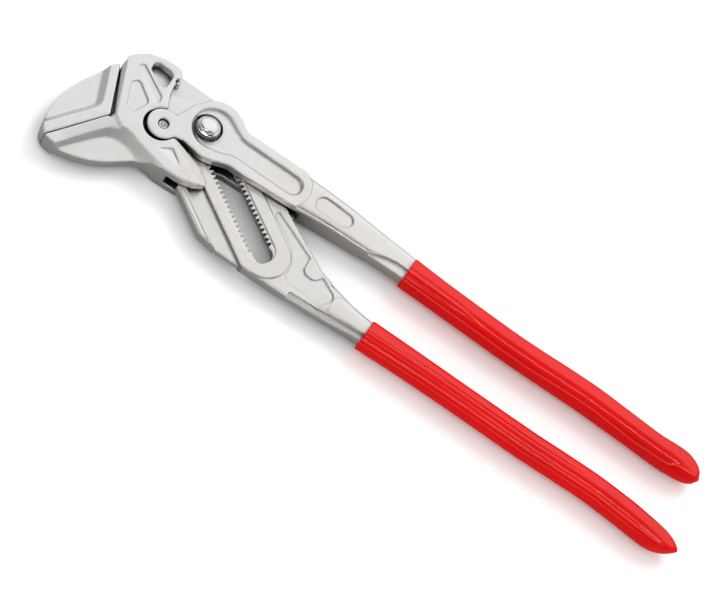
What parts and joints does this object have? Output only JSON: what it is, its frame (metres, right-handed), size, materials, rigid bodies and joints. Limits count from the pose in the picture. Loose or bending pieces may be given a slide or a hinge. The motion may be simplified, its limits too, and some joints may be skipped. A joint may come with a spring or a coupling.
{
  "type": "parallel-jaw pliers wrench",
  "caption": "Long adjustable pliers with smooth parallel jaws, a toothed slot with a push-button hinge bolt, and two dipped handles.",
  "frame": {"origin": "on the hinge-bolt axis, in the plane the tool lies on: the bolt's back end face, flush with the back cheeks", "axes": "+X along the handles away from the jaws, +Y from the slotted handle towards the actuating handle, +Z out of the rest plane through the push button"},
  "size_m": [0.4159, 0.0829, 0.0218],
  "materials": {
    "slotted_lever_steel": "blasted satin chrome plating on a steel forging",
    "actuating_lever_steel": "blasted satin chrome plating on a steel forging",
    "sliding_jaw_steel": "blasted satin chrome plating on a steel forging",
    "grip_dip": "glossy red dipped plastic coating",
    "button_chrome": "polished chrome",
    "bolt_steel": "machined steel",
    "pin_steel": "ground steel",
    "spring_steel": "plain spring steel"
  },
  "bodies": {
    "slotted_handle": {"slotted_lever": "slotted_lever_steel", "slotted_lever_grip": "grip_dip"},
    "bolt_seat": {"spring_seat_washer": "spring_steel", "return_spring": "spring_steel"},
    "hinge_bolt_body": {"hinge_bolt": "bolt_steel", "push_button": "button_chrome", "retaining_ring": "spring_steel"},
    "actuating_handle": {"actuating_lever": "actuating_lever_steel", "actuating_lever_grip": "grip_dip", "nose_pin_front": "pin_steel", "nose_pin_back": "pin_steel"},
    "sliding_jaw_body": {"sliding_jaw": "sliding_jaw_steel", "stop_pin": "pin_steel"}
  },
  "joints": [
    {"name": "slot_adjust", "type": "slide", "parent": "slotted_handle", "child": "bolt_seat", "axis": [0.8434, -0.5373, 0], "range_m": [0, 0.036]},
    {"name": "button_press", "type": "slide", "parent": "bolt_seat", "child": "hinge_bolt_body", "axis": [0, 0, -1], "range_m": [0, 0.0031], "deforming": ["return_spring"]},
    {"name": "lever_open", "type": "hinge", "parent": "bolt_seat", "child": "actuating_handle", "pos_m": [0, 0, 0.0093], "axis": [0, 0, 1], "range_deg": [0, 27]},
    {"name": "jaw_slide", "type": "slide", "parent": "bolt_seat", "child": "sliding_jaw_body", "axis": [0.8434, -0.5373, 0], "range_m": [0, 0.0117]}
  ],
  "couplings": [
    {"joint": "jaw_slide", "follows": "lever_open", "m_per_rad": 0.02445}
  ]
}
